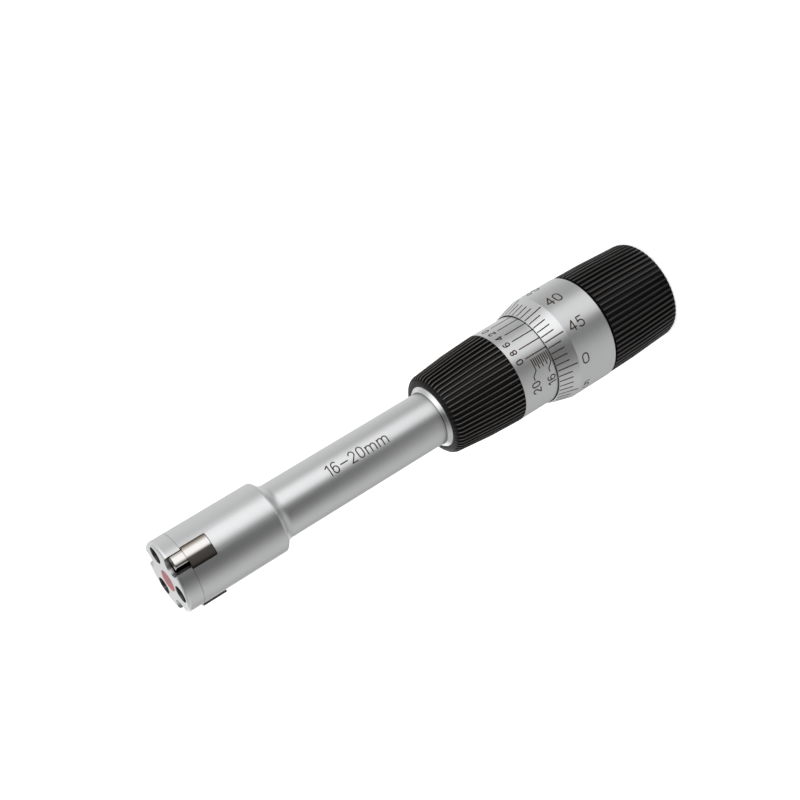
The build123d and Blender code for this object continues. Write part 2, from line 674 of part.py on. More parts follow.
def main():
    os.makedirs("parts", exist_ok=True)
    nodes = (
        head_body, end_cap, cap_screws, centre_plug, measuring_cone, push_rod, rod_bush, rod_spring,
        barrel, front_grip, sleeve, adjusting_ring, spindle, thrust_ball, thimble, ratchet_body,
        pawl_ring, ratchet_spring, ratchet_washer, ratchet_screw, knob, knob_end_disc,
    )
    for node in nodes:
        write(node.__name__, node())
    for number, turn in enumerate(anvil_turns(), start=1):
        write(f"anvil_{number}", Rot(0, 0, turn) * anvil())
        write(f"leaf_spring_{number}", Rot(0, 0, turn) * leaf_spring())


main()
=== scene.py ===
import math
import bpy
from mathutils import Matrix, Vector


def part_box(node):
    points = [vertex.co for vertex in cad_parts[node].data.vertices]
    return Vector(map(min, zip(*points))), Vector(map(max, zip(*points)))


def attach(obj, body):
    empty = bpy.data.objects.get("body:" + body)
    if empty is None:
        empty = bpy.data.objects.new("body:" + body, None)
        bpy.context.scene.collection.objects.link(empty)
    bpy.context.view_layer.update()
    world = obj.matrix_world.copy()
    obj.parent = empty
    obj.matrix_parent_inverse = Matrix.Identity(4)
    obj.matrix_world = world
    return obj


bl_info = {
    "name": "Inside Micrometer",
    "version": (1, 0, 0),
    "blender": (4, 5, 0),
    "location": "3D View > Sidebar > Micrometer",
    "description": "Finishes, engraved scales, studio and camera for the three-point inside micrometer",
    "category": "Object",
}

import bmesh
import bpy
from bpy.props import FloatProperty, FloatVectorProperty, IntProperty, PointerProperty
from mathutils import Vector

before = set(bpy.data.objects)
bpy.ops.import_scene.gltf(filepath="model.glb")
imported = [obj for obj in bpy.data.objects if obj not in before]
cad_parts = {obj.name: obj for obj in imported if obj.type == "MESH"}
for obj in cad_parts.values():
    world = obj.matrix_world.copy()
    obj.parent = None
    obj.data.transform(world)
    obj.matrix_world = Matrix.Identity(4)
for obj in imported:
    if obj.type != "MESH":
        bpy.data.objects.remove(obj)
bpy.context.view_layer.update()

MM = 0.001
# Height of the painted marks over the metal, and how far their undersides are sunk into it
PAINT_LIFT = 0.006 * MM
PAINT_SINK = 0.03 * MM
# Longest straight run of a stroke before it is divided to follow the curve of the metal, and the
# angles of the points that round its ends
STROKE_STEP = 0.3 * MM
STROKE_ROUNDING = (math.radians(35), math.radians(68))
# How near a CAD point has to lie to the height at which it is looked for
HEIGHT_MATCH = 0.02 * MM
# How far inside the cap's outer surface the painted shade in its slots ends
CAP_SKIN = 0.02 * MM

# Painted shade in the gaps and inner corners: its colour, how far from a corner it reaches, and how open a
# shaded and an unshaded place are
PAINTED_SHADE = (0.03, 0.028, 0.026)
PAINTED_SHADE_REACH = 1.2 * MM
PAINTED_SHADE_OPENNESS = (0.2, 0.6)
# The paler painted shade in the seam of the barrel's nose, and the depths between which it fades
SEAM_PAINTED_SHADE = (0.15, 0.147, 0.144)
SEAM_FADE = (0.05 * MM, 0.16 * MM)
# Where most values of a noise lie
NOISE_RANGE = (0.3, 0.7)
# How well a face of an anvil has to look away from the tool's axis to be its measuring face, and the
# share of its painted shaded edge that is quite black
FACES_OUT = 0.85
EDGE_BLACK = 0.7
# How much narrower the painted highlight along a rib's crest is than the crest
CREST_NARROWING = 1.6
# Colour across an anvil's face, from its lower edge to its upper one: a painted reflection, a bright band
# between darker sides, with painted shade at both edges
ANVIL_BANDS = ((0.0, PAINTED_SHADE), (0.05, (0.2, 0.18, 0.165)), (0.12, (0.3, 0.27, 0.25)), (0.42, (0.36, 0.32, 0.3)),
               (0.48, (0.74, 0.72, 0.7)), (0.74, (0.74, 0.72, 0.7)), (0.83, (0.42, 0.385, 0.355)),
               (0.93, (0.13, 0.105, 0.085)), (1.0, PAINTED_SHADE))

# How much wider the figures of sleeve and thimble are than the plain letter shapes, and how much
# wider their strokes are than the marks
SLEEVE_STRETCH, THIMBLE_STRETCH = 1.08, 1.27
SLEEVE_STROKE, THIMBLE_STROKE = 1.1, 1.15
# Sleeve: where the vernier's lines start, where its figures stand, how far the lines run under the thimble
VERNIER_START = 38.6 * MM
VERNIER_FOOT = 39.45 * MM
VERNIER_HIDDEN = 1.5 * MM
VERNIER_FIGURES = "086420"
# Sleeve: pitch and number of the marks, and where they start and end round from the reading line
MARK_PITCH = 0.5 * MM
MARK_COUNT = 9
MARK_START = math.radians(4.2)
HALF_MARK_END = math.radians(13.2)
WHOLE_MARK_END = math.radians(17.7)
# Sleeve: course of the line from a mark to its figure, in mm along the tool and degrees round it
CRANK = ((0, 17.0), (0, 18.0), (1.03, 23.7), (1.03, 27.9))
CRANK_FIGURE_ANGLE = math.radians(45.5)
CRANK_FIGURE_LIFT = 0.06 * MM
# Thimble: value of its first mark, every how many marks a figure stands, and the ends of the marks
# as shares of the taper
FIRST_VALUE = 45
FIGURE_EVERY = 5
TICK_START, SHORT_TICK, LONG_TICK = 0.03, 0.62, 0.92
# Thimble: gap between the taper and a figure of one digit and of two
ONE_DIGIT_GAP = 1.1 * MM
TWO_DIGIT_GAP = 1.3 * MM


# Settings

def colour_setting(name, description, default):
    return FloatVectorProperty(
        name=name, description=description, subtype="COLOR", min=0, max=1, default=default)


def share_setting(name, description, default):
    return FloatProperty(name=name, description=description, subtype="FACTOR", min=0, max=1, default=default)


def length_setting(name, description, default):
    return FloatProperty(
        name=name, description=description, subtype="DISTANCE", unit="LENGTH", default=default)


def angle_setting(name, description, degrees):
    return FloatProperty(
        name=name, description=description, subtype="ANGLE", unit="ROTATION", default=math.radians(degrees))


class FinishSettings(bpy.types.PropertyGroup):
    """Colours and roughness of the micrometer's own finishes."""

    chrome_colour: colour_setting(
        "Satin Chrome", "Colour of the satin plating on head, tube, sleeve and thimble", (0.74, 0.745, 0.75))
    chrome_roughness: share_setting("Satin Roughness", "Roughness of the satin plating", 0.36)
    anvil_colour: colour_setting("Anvil", "Colour of the lapped measuring faces", (0.74, 0.72, 0.7))
    anvil_roughness: share_setting("Anvil Roughness", "Roughness of the lapped measuring faces", 0.12)
    anvil_width: length_setting("Anvil Width", "Width of an anvil's face", 4.6 * MM)
    anvil_side: colour_setting("Anvil Side", "Colour of the sides and ends of an anvil", (0.32, 0.3, 0.28))
    # Painted shade: an anvil's face is darkened over this width at its ends
    anvil_edge: length_setting("Anvil Edge", "Width of the dark broken edge round an anvil's face", 0.14 * MM)
    anvil_tilt: angle_setting("Anvil Tilt", "How far the lapped faces are ground to one side", -6.5)
    anvil_phase: angle_setting("Anvil Phase", "Direction in which the near anvil points, from +X", -78.5)
    tongue_length: length_setting("Tongue Length", "Length of an anvil's tongue", 2.58 * MM)
    tongue_depth: length_setting(
        "Tongue Depth", "How far an anvil's tongue ends behind the cap's face", 0.88 * MM)
    lip_place: length_setting(
        "Lip Place", "Where the rounded lower edge of a tongue starts, from its anvil's middle", 0.58 * MM)
    lip_tilt: angle_setting("Lip Tilt", "How far the rounded lower edge of a tongue is turned down", -38)
    # Painted shade: the slot width, the slot floor and the recess share set where the cap's slots and screw
    # recesses are darkened as shade
    slot_width: length_setting("Slot Width", "Width of the oily part of a slot in the cap", 3.98 * MM)
    slot_floor: length_setting("Slot Floor", "How near the tool's axis the oil in a slot reaches", 4.7 * MM)
    recess_dirt: share_setting("Recess Dirt", "How much oil covers the walls of the screw recesses", 0.55)
    cap_round: length_setting("Cap Rounding", "Width of the cap's rounded front edge", 0.74 * MM)
    grip_colour: colour_setting("Grip", "Colour of the black moulded grip and knob", (0.0045, 0.0043, 0.0042))
    grip_roughness: share_setting("Grip Roughness", "Roughness of the black mouldings", 0.38)
    # Painted highlight: the crest colours and the crest metal share make the ribs' crests lighter and partly
    # metallic, standing in for their shine
    grip_crest_colour: colour_setting(
        "Grip Crest Colour", "Colour of the rubbed crests of the grip's ribs", (0.17, 0.157, 0.148))
    knob_crest_colour: colour_setting(
        "Knob Crest Colour", "Colour of the less rubbed crests of the knob's ribs", (0.075, 0.071, 0.068))
    crest_metal: share_setting("Crest Metal", "How much bare metal shines through on the rubbed crests", 0.6)
    crest_bow: length_setting("Crest Bow", "How far the crest of a rib is rounded off", 0.05 * MM)
    grip_ribs: IntProperty(
        name="Grip Ribs", description="Number of ribs round the grip", min=10, max=200, default=54)
    grip_crest: share_setting("Grip Crest", "Share of a rib's pitch that its crest takes on the grip", 0.29)
    # The painted crest highlight stops this far short of the grip's front
    grip_nose: length_setting("Grip Nose", "Length of the grip's front where no crest is rubbed", 0.5 * MM)
    knob_ribs: IntProperty(
        name="Knob Ribs", description="Number of ribs round the knob", min=10, max=200, default=60)
    knob_crest: share_setting("Knob Crest", "Share of a rib's pitch that its crest takes on the knob", 0.43)
    # The painted crest highlight stops this far short of the knob's rear
    knob_rim: length_setting("Knob Rim", "Length of the knob's rear where no crest is rubbed", 0.3 * MM)
    plug_colour: colour_setting(
        "Centre Plug", "Colour of the red plug in the head's face", (0.47, 0.1, 0.108))
    paint_colour: colour_setting(
        "Engraving Paint", "Colour of the paint in the engraved marks", (0.05, 0.034, 0.026))
    steel_colour: colour_setting(
        "Ground Steel", "Colour of the ground steel pieces inside", (0.56, 0.57, 0.58))
    blackened_colour: colour_setting(
        "Blackened Steel", "Colour of the blackened screws and rings", (0.035, 0.035, 0.038))
    bronze_colour: colour_setting("Bush Bronze", "Colour of the push rod's bush", (0.72, 0.5, 0.26))


class SleeveScaleSettings(bpy.types.PropertyGroup):
    """Sizes of the marks on the graduated sleeve."""

    index_angle: angle_setting("Reading Line", "Angle of the reading line from the tool's near side", -2.1)
    vernier_step: angle_setting("Vernier Step", "Angle between two lines of the vernier", 12.96)
    first_mark: length_setting(
        "First Mark", "Height of the lowest millimetre mark over the standing face", 33.74 * MM)
    line_width: length_setting("Line Width", "Width of the marks on the sleeve", 0.25 * MM)
    figure_height: length_setting("Vernier Figure Height", "Height of the vernier's figures", 1.45 * MM)
    range_figure_height: length_setting(
        "Range Figure Height", "Height of the figures that name the first and last millimetre", 1.9 * MM)


class ThimbleScaleSettings(bpy.types.PropertyGroup):
    """Sizes of the marks on the graduated thimble."""

    divisions: IntProperty(
        name="Divisions", description="Number of divisions round the thimble", min=10, max=100, default=50)
    mark_angle: angle_setting("Mark Angle", "Angle of the mark 45 from the tool's near side", -5.9)
    taper_length: length_setting("Taper Length", "Length of the thimble's tapered front", 4.75 * MM)
    line_width: length_setting("Line Width", "Width of the marks on the thimble", 0.26 * MM)
    figure_height: length_setting("Figure Height", "Height of the thimble's figures", 2.2 * MM)


class TubeMarkSettings(bpy.types.PropertyGroup):
    """Sizes of the range that is engraved on the tube."""

    start: length_setting("Start", "Height at which the engraved range starts", 85.95 * MM)
    angle: angle_setting("Angle", "Angle of the foot of the engraved range from the tool's near side", -3.6)
    height: length_setting("Height", "Height of the engraved range's figures", 2.32 * MM)
    line_width: length_setting("Line Width", "Width of the strokes of the engraved range", 0.25 * MM)


class StudioSettings(bpy.types.PropertyGroup):
    """Camera, floor and light."""

    camera_place: FloatVectorProperty(
        name="Camera Place", description="Where the camera stands", subtype="TRANSLATION", unit="LENGTH",
        default=(0.00610712, -0.27664859, 0.18117096))
    camera_turn: FloatVectorProperty(
        name="Camera Turn", description="How the camera is turned", subtype="EULER", unit="ROTATION",
        default=(math.radians(-50.130799), math.radians(52.095332), math.radians(-146.641677)))
    lens: FloatProperty(
        name="Lens", description="Focal length of the camera", subtype="DISTANCE_CAMERA", unit="CAMERA",
        default=67.1295)
    floor_colour: colour_setting("Floor", "Colour of the pale floor", (0.9, 0.9, 0.9))
    floor_size: length_setting("Floor Size", "Side of the floor", 6.0)


# Strokes of the engraved figures, in a box that is 1 high

def bow(x, y, rx, ry, start, end, steps=14):
    """Points along an elliptical arc from one angle to another, in degrees."""
    angles = [math.radians(start + (end - start) * i / steps) for i in range(steps + 1)]
    return [(x + rx * math.cos(a), y + ry * math.sin(a)) for a in angles]


FIGURES = {
    "0": (0.52, [bow(0.26, 0.7, 0.26, 0.3, 0, 180) + bow(0.26, 0.3, 0.26, 0.3, 180, 360) + [(0.52, 0.7)]]),
    "1": (0.28, [[(0.28, 0), (0.28, 1)], [(0.28, 1), (0.02, 0.8)]]),
    "2": (0.52, [bow(0.26, 0.71, 0.25, 0.29, 168, -28) + [(0, 0)], [(0, 0), (0.52, 0)]]),
    "3": (0.5, [bow(0.24, 0.75, 0.23, 0.25, 150, -90), bow(0.24, 0.26, 0.26, 0.26, 80, -150)]),
    "4": (0.56, [[(0.42, 0), (0.42, 1)], [(0.42, 1), (0, 0.27)], [(0, 0.27), (0.56, 0.27)]]),
    "5": (0.52, [[(0.48, 1), (0.1, 1)], [(0.1, 1), (0.05, 0.54)],
                 [(0.05, 0.54)] + bow(0.25, 0.32, 0.27, 0.32, 118, -145)]),
    "6": (0.52, [bow(0.29, 0.66, 0.28, 0.34, 48, 176) + [(0.01, 0.32)],
                 bow(0.26, 0.31, 0.25, 0.31, 0, 360, 20)]),
    "8": (0.52, [bow(0.26, 0.76, 0.21, 0.24, 0, 360, 18), bow(0.26, 0.27, 0.26, 0.27, 0, 360, 20)]),
    "-": (0.68, [[(0, 0.46), (0.68, 0.46)]]),
    "m": (0.92, [[(0, 0), (0, 0.66)], bow(0.23, 0.44, 0.23, 0.22, 180, 0, 8) + [(0.46, 0)],
                 bow(0.69, 0.44, 0.23, 0.22, 180, 0, 8) + [(0.92, 0)]]),
}
FIGURE_GAP = 0.3


def lettering(text, height, stretch=1.0):
    """Strokes of a row of figures in metres, and the row's width."""
    strokes = []
    x = 0.0
    for letter in text:
        width, lines = FIGURES[letter]
        strokes += [[((x + px * stretch) * height, py * height) for px, py in line] for line in lines]
        x += width * stretch + FIGURE_GAP
    return strokes, (x - FIGURE_GAP) * height


def divided(line):
    """The line with its long runs cut into short ones."""
    points = [Vector(line[0])]
    for end in line[1:]:
        start = points[-1].copy()
        run = Vector(end) - start
        pieces = max(1, math.ceil(run.length / STROKE_STEP))
        points += [start + run * i / pieces for i in range(1, pieces + 1)]
    return points


def sections(line, width):
    """Pairs of edge points across a round-ended stroke."""
    points = divided(line)
    half = width / 2
    pairs = []
    for i, point in enumerate(points):
        along = (points[min(i + 1, len(points) - 1)] - points[max(i - 1, 0)]).normalized()
        across = Vector((-along.y, along.x)) * half
        pairs.append((point + across, point - across))
        if i in (0, len(points) - 1):
            out = along * half * (-1 if i == 0 else 1)
            rounding = [(math.sin(a), math.cos(a)) for a in STROKE_ROUNDING]
            cap = [(point + out * s + across * c, point + out * s - across * c) for s, c in rounding]
            pairs = cap[::-1] + pairs if i == 0 else pairs + cap
    return pairs


def painted(name, strokes, width, place, body):
    """One mesh of thin closed strips that lie on the metal; place(x, y, lift) gives a point of it."""
    vertices, faces = [], []
    for line in strokes:
        first = len(vertices)
        pairs = sections(line, width)
        for left, right in pairs:
            vertices += [place(*left, PAINT_LIFT), place(*right, PAINT_LIFT),
                         place(*right, -PAINT_SINK), place(*left, -PAINT_SINK)]
        for i in range(len(pairs) - 1):
            a = first + 4 * i
            faces += [(a + k, a + (k + 1) % 4, a + 4 + (k + 1) % 4, a + 4 + k) for k in range(4)]
        last = first + 4 * (len(pairs) - 1)
        faces += [(first + 3, first + 2, first + 1, first), (last, last + 1, last + 2, last + 3)]
    mesh = bpy.data.meshes.new(name)
    mesh.from_pydata(vertices, [], faces)
    mesh.validate()
    outward(mesh)
    piece = bpy.data.objects.new(name, mesh)
    bpy.context.scene.collection.objects.link(piece)
    mesh.materials.append(engraving_paint())
    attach(piece, body)


def outward(mesh):
    """Turn every face of the mesh to the outside."""
    made = bmesh.new()
    made.from_mesh(mesh)
    bmesh.ops.recalc_face_normals(made, faces=made.faces)
    made.to_mesh(mesh)
    made.free()


def on_surface(radius_at):
    """A place function for a surface of revolution: its arguments are height, angle and lift."""
    def place(z, angle, lift):
        r = radius_at(z) + lift
        return (-r * math.sin(angle), -r * math.cos(angle), z)
    return place


def engrave(name, lines, width, radius_at, body):
    """Paint strokes given as (height, angle) on a surface of revolution."""
    if not lines:
        raise RuntimeError(f"{name} has no strokes")
    middle = radius_at(sum(z for line in lines for z, _ in line) / sum(len(line) for line in lines))
    flat = [[(z, angle * middle) for z, angle in line] for line in lines]
    surface = on_surface(radius_at)
    painted(name, flat, width, lambda z, arc, lift: surface(z, arc / middle, lift), body)


def radius_near(node, height):
    """Outer radius of a CAD node at a height where it has an edge."""
    level = [v.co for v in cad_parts[node].data.vertices if abs(v.co.z - height) < HEIGHT_MATCH]
    if not level:
        raise RuntimeError(f"{node} has no edge at {height * 1000:.2f} mm")
    return max(math.hypot(p.x, p.y) for p in level)


# Nodes of the finishes

def new_finish(name):
    """A new node material, its node tree and its principled shader."""
    material = bpy.data.materials.new(name)
    material.use_nodes = True
    return material, material.node_tree, material.node_tree.nodes["Principled BSDF"]


def add(tree, kind, inputs=None, **options):
    """A new node with its options set, and each input given a number or linked to a socket."""
    node = tree.nodes.new("ShaderNode" + kind)
    for name, value in options.items():
        setattr(node, name, value)
    for key, value in (inputs or {}).items():
        if isinstance(value, bpy.types.NodeSocket):
            tree.links.new(value, node.inputs[key])
        else:
            node.inputs[key].default_value = value
    return node


def maths(tree, operation, *values):
    """What a math node makes of its inputs, each a number or a socket."""
    return add(tree, "Math", dict(enumerate(values)), operation=operation).outputs["Value"]


def product(tree, first, *others):
    """All the values multiplied together."""
    for other in others:
        first = maths(tree, "MULTIPLY", first, other)
    return first


def above(tree, value, limit):
    """1 where the value is over the limit, else 0."""
    return maths(tree, "GREATER_THAN", value, limit)


def below(tree, value, limit):
    """1 where the value is under the limit, else 0."""
    return maths(tree, "LESS_THAN", value, limit)


def mapped(tree, value, start, end, low=0.0, high=1.0):
    """The value, mapped from start..end to low..high and kept within it."""
    ends = {"From Min": start, "From Max": end, "To Min": low, "To Max": high}
    return add(tree, "MapRange", {"Value": value, **ends}).outputs["Result"]


def between(tree, share, low, high):
    """A colour that goes from one socket or colour to another with the share."""
    low, high = (c if isinstance(c, bpy.types.NodeSocket) else (*c, 1) for c in (low, high))
    return add(tree, "Mix", {"Factor": share, "A": low, "B": high}, data_type="RGBA").outputs["Result"]


def cover(tree, shader, share, colour):
    """Lay a socket or colour over the shader's base colour, as far as the share says."""
    base = shader.inputs["Base Color"]
    tree.links.new(between(tree, share, base.links[0].from_socket, colour), base)


def ramped(tree, value, stops):
    """The colour that a ramp of (place, colour) stops gives for the value."""
    ramp = add(tree, "ValToRGB", {"Fac": value})
    elements = ramp.color_ramp.elements
    for place, _ in stops[1:-1]:
        elements.new(place)
    for element, (place, colour) in zip(elements, stops):
        element.position = place
        element.color = (*colour, 1)
    return ramp.outputs["Color"]


def place_of(tree, output="Object"):
    """The three coordinates of the place that is shaded."""
    place = add(tree, "TexCoord").outputs[output]
    apart = add(tree, "SeparateXYZ", {"Vector": place}).outputs
    return apart["X"], apart["Y"], apart["Z"]


def grain(tree, scale, stretch=(1, 1, 1), detail=2.0):
    """Noise in the object's own space, stretched along its axes."""
    place = add(tree, "TexCoord").outputs["Object"]
    stretched = add(tree, "Mapping", {"Vector": place, "Scale": stretch}).outputs["Vector"]
    return add(tree, "TexNoise", {"Vector": stretched, "Scale": scale, "Detail": detail}).outputs["Fac"]


def varied(tree, noise, middle, change):
    """A number that varies round its middle with the noise."""
    return mapped(tree, noise, *NOISE_RANGE, middle * (1 - change), middle * (1 + change))


def tinted(tree, noise, colour, change):
    """A colour that varies a little with the noise."""
    dark = [c * (1 - change) for c in colour]
    light = [min(1, c * (1 + change)) for c in colour]
    return ramped(tree, noise, tuple(zip(NOISE_RANGE, (dark, light))))


def bumped(tree, value, depth, shader):
    """Fine relief on the shader's normal."""
    bump = add(tree, "Bump", {"Strength": 1.0, "Distance": depth, "Height": value})
    tree.links.new(bump.outputs["Normal"], shader.inputs["Normal"])


def grime(tree, colour):
    """The colour, darkened with painted shade in the narrow gaps and inner corners that ambient occlusion
    finds.
    """
    hidden = add(tree, "AmbientOcclusion", {"Distance": PAINTED_SHADE_REACH}, samples=8)
    return between(tree, mapped(tree, hidden.outputs["AO"], *PAINTED_SHADE_OPENNESS), PAINTED_SHADE, colour)


# Finishes

def turned_metal(name, colour, roughness, change, rings, pits, shaded_gaps=True):
    """Metal from the lathe: faint rings round the axis, a fine grain and patches of sheen, with painted shade
    in its gaps and corners unless told not to.
    """
    material, tree, shader = new_finish(name)
    shader.inputs["Metallic"].default_value = 1.0
    speckle = grain(tree, 2600)
    cloud = grain(tree, 260, detail=3.0)
    mottle = maths(tree, "MULTIPLY_ADD", speckle, 0.5, maths(tree, "MULTIPLY", cloud, 0.5))
    metal = tinted(tree, mottle, colour, change)
    # Painted shade: darker in the gaps and inner corners
    if shaded_gaps:
        metal = grime(tree, metal)
    tree.links.new(metal, shader.inputs["Base Color"])
    ringed = grain(tree, 60, stretch=(0.4, 0.4, 160))
    tree.links.new(varied(tree, ringed, roughness, 0.08), shader.inputs["Roughness"])
    pitted = grain(tree, 14000, detail=1.0)
    bumped(tree, maths(tree, "MULTIPLY_ADD", pitted, pits / rings, ringed), rings, shader)
    return material


def plating(name, look):
    """Satin plating under a name of its own."""
    return turned_metal(name, look.chrome_colour, look.chrome_roughness, 0.02, 0.0003 * MM, 0.0004 * MM)


def moulded(name, colour, roughness, relief, shine):
    """Moulded plastic or paint with a slight surface texture."""
    material, tree, shader = new_finish(name)
    shader.inputs["Specular IOR Level"].default_value = shine
    speckle = grain(tree, 5200, detail=3.0)
    tree.links.new(tinted(tree, speckle, colour, 0.25), shader.inputs["Base Color"])
    tree.links.new(varied(tree, grain(tree, 500), roughness, 0.12), shader.inputs["Roughness"])
    bumped(tree, speckle, relief, shader)
    return material


def ribbed_moulding(name, look, count, crest, crest_colour, low, high):
    """Black piece with straight ribs, whose crests are rounded and, between two heights, carry a painted
    highlight: a lighter, partly metallic stripe along their middles.
    """
    material = moulded(name, look.grip_colour, look.grip_roughness, 0.003 * MM, 0.2)
    tree = material.node_tree
    shader = tree.nodes["Principled BSDF"]
    x, y, z = place_of(tree)

    # How far a place is from the middle of its rib's crest: 0 there, 1 at the crest's edge and beyond
    turn = maths(tree, "FRACT", product(tree, maths(tree, "ARCTAN2", y, x), count / (2 * math.pi)))
    off = maths(tree, "ABSOLUTE", maths(tree, "SUBTRACT", turn, 0.5))
    off = maths(tree, "MINIMUM", maths(tree, "MULTIPLY", off, 2 / crest), 1.0)
    bowed = product(tree, off, off, -1.0)
    rounding = add(tree, "Bump", {"Distance": look.crest_bow, "Height": bowed})
    tree.links.new(rounding.outputs["Normal"], tree.nodes["Bump"].inputs["Normal"])

    # Painted highlight: only the inner part of a crest is made lighter and partly metallic
    middle = maths(tree, "MAXIMUM", maths(tree, "MULTIPLY_ADD", bowed, CREST_NARROWING, 1.0), 0.0)
    rubbed = product(tree, above(tree, z, low), below(tree, z, high), middle)
    cover(tree, shader, rubbed, crest_colour)
    tree.links.new(maths(tree, "MULTIPLY", rubbed, look.crest_metal), shader.inputs["Metallic"])
    return material


def lapped_anvil(name, look, turn, rear, front):
    """Anvil with a mirror-like outer face, ground a little to one side, with a painted reflection band across
    it and painted shade along its edges and ends.
    """
    material = turned_metal(
        name, look.anvil_side, look.anvil_roughness, 0.04, 0.0002 * MM, 0.0001 * MM, shaded_gaps=False)
    tree = material.node_tree
    shader = tree.nodes["Principled BSDF"]
    x, y, z = place_of(tree)

    # The face's own direction, taken from the place on it, so that it is as smooth as the lapped steel
    radial = add(tree, "CombineXYZ", {"X": x, "Y": y}).outputs["Vector"]
    straight = add(tree, "VectorTransform", {"Vector": radial},
                   vector_type="NORMAL", convert_from="OBJECT", convert_to="WORLD").outputs["Vector"]
    unit = add(tree, "VectorMath", {0: straight}, operation="NORMALIZE").outputs["Vector"]
    facing = add(tree, "NewGeometry").outputs
    along = add(tree, "VectorMath", {0: unit, 1: facing["True Normal"]}, operation="DOT_PRODUCT")
    outer = above(tree, along.outputs["Value"], FACES_OUT)

    # The lower edge of a tongue is a rounded lip, and is turned down further than the rest
    across = maths(tree, "SUBTRACT", maths(tree, "MULTIPLY", y, math.cos(turn)),
                   maths(tree, "MULTIPLY", x, math.sin(turn)))
    lip = product(tree, below(tree, across, -look.lip_place), above(tree, z, front - look.tongue_length))
    tilt = maths(tree, "MULTIPLY_ADD", lip, look.lip_tilt, look.anvil_tilt)
    tilted = add(tree, "VectorRotate", {"Vector": unit, "Angle": tilt}, rotation_type="Z_AXIS")
    ways = {"Factor": outer, "A": facing["Normal"], "B": tilted.outputs["Vector"]}
    normal = add(tree, "Mix", ways, data_type="VECTOR").outputs["Result"]
    tree.links.new(normal, tree.nodes["Bump"].inputs["Normal"])

    # Painted reflection and shade: a bright band across the face between darker sides, darkened towards its
    # ends
    bands = ramped(tree, maths(tree, "MULTIPLY_ADD", across, 1 / look.anvil_width, 0.5), ANVIL_BANDS)
    inward = maths(tree, "MINIMUM", maths(tree, "SUBTRACT", z, rear), maths(tree, "SUBTRACT", front, z))
    face = between(tree, mapped(tree, inward, look.anvil_edge * EDGE_BLACK, look.anvil_edge), PAINTED_SHADE, bands)
    cover(tree, shader, outer, between(tree, lip, face, look.anvil_colour))
    return material


def slotted_cap(look, floor, edge, top):
    """The cap's satin plating, with painted shade in its screw recesses and in the slots under the tongues.
    """
    material = plating("slotted_cap_finish", look)
    tree = material.node_tree
    x, y, z = place_of(tree)

    # Distance from the axis, and from the middle plane of the nearest slot
    third = 2 * math.pi / 3
    angle = maths(tree, "SUBTRACT", maths(tree, "ARCTAN2", y, x), look.anvil_phase - third / 2)
    angle = maths(tree, "SUBTRACT", maths(tree, "FLOORED_MODULO", angle, third), third / 2)
    reach = maths(tree, "SQRT", maths(tree, "MULTIPLY_ADD", x, x, maths(tree, "MULTIPLY", y, y)))
    off = maths(tree, "ABSOLUTE", maths(tree, "MULTIPLY", reach, maths(tree, "SINE", angle)))

    # Painted shade: the slots under the tongues are darkened, and the screw recesses more faintly
    half = look.slot_width / 2
    slot = product(tree, below(tree, off, half), above(tree, reach, floor), below(tree, reach, edge),
                   below(tree, z, top - look.tongue_depth))
    hole = product(tree, above(tree, off, half), below(tree, reach, edge - look.cap_round),
                   below(tree, z, top - look.anvil_edge))
    deep = maths(tree, "MAXIMUM", slot, maths(tree, "MULTIPLY", hole, look.recess_dirt))
    cover(tree, tree.nodes["Principled BSDF"], deep, PAINTED_SHADE)
    return material


def seamed_nose(look, seam):
    """The barrel's satin plating, with painted shade in the seam where its bevel meets the tube."""
    material = turned_metal(
        "barrel_finish", look.chrome_colour, look.chrome_roughness * 0.8, 0.02, 0.0003 * MM, 0.0002 * MM)
    tree = material.node_tree
    _, _, z = place_of(tree)
    # Painted shade in the seam, just under the top of the barrel
    shaded_gaps = mapped(tree, maths(tree, "SUBTRACT", seam, z), *SEAM_FADE, 1.0, 0.0)
    cover(tree, tree.nodes["Principled BSDF"], shaded_gaps, SEAM_PAINTED_SHADE)
    return material


def worn_plug(colour):
    """Red plastic whose colour has rubbed off in spots."""
    material, tree, shader = new_finish("red_plug_finish")
    spots = grain(tree, 900, detail=4.0)
    rubbed = (colour[0] * 0.55, colour[1] * 1.3, colour[2] * 1.3)
    tree.links.new(ramped(tree, spots, ((0.36, rubbed), (0.56, colour))), shader.inputs["Base Color"])
    shader.inputs["Roughness"].default_value = 0.5
    bumped(tree, spots, 0.006 * MM, shader)
    return material


def finish_nodes(names, material):
    """Give CAD nodes a finish."""
    for name in names:
        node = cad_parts[name]
        node.data.materials.clear()
        node.data.materials.append(material)
        for slot in node.material_slots:
            slot.material = material


def shared(name, make):
    """A finish that several operators use, made once from its name and the settings."""
    return bpy.data.materials.get(name) or make(name, bpy.context.scene.micrometer_finish)


def satin_chrome():
    return shared("satin_chrome_finish", plating)


def black_moulding():
    return shared("black_moulding", lambda name, look: moulded(
        name, look.grip_colour, look.grip_roughness, 0.004 * MM, 0.3))


def engraving_paint():
    return shared("engraving_paint", lambda name, look: moulded(
        name, look.paint_colour, 0.7, 0.002 * MM, 0.15))


def blackened_steel():
    return shared("blackened_steel", lambda name, look: turned_metal(
        name, look.blackened_colour, 0.38, 0.1, 0.001 * MM, 0.001 * MM))


# Operators, one for each piece or group of like pieces

class MICROMETER_OT_head(bpy.types.Operator):
    """Finish the measuring head: body, end cap, cap screws and centre plug"""

    bl_idname = "micrometer.head"
    bl_label = "Measuring Head"

    def execute(self, context):
        look = context.scene.micrometer_finish
        _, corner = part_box("end_cap")
        cap = slotted_cap(look, look.slot_floor, corner.y - CAP_SKIN, corner.z)
        finish_nodes(["head_body"], satin_chrome())
        finish_nodes(["end_cap"], cap)
        finish_nodes(["cap_screws"], blackened_steel())
        finish_nodes(["centre_plug"], worn_plug(look.plug_colour))
        return {"FINISHED"}


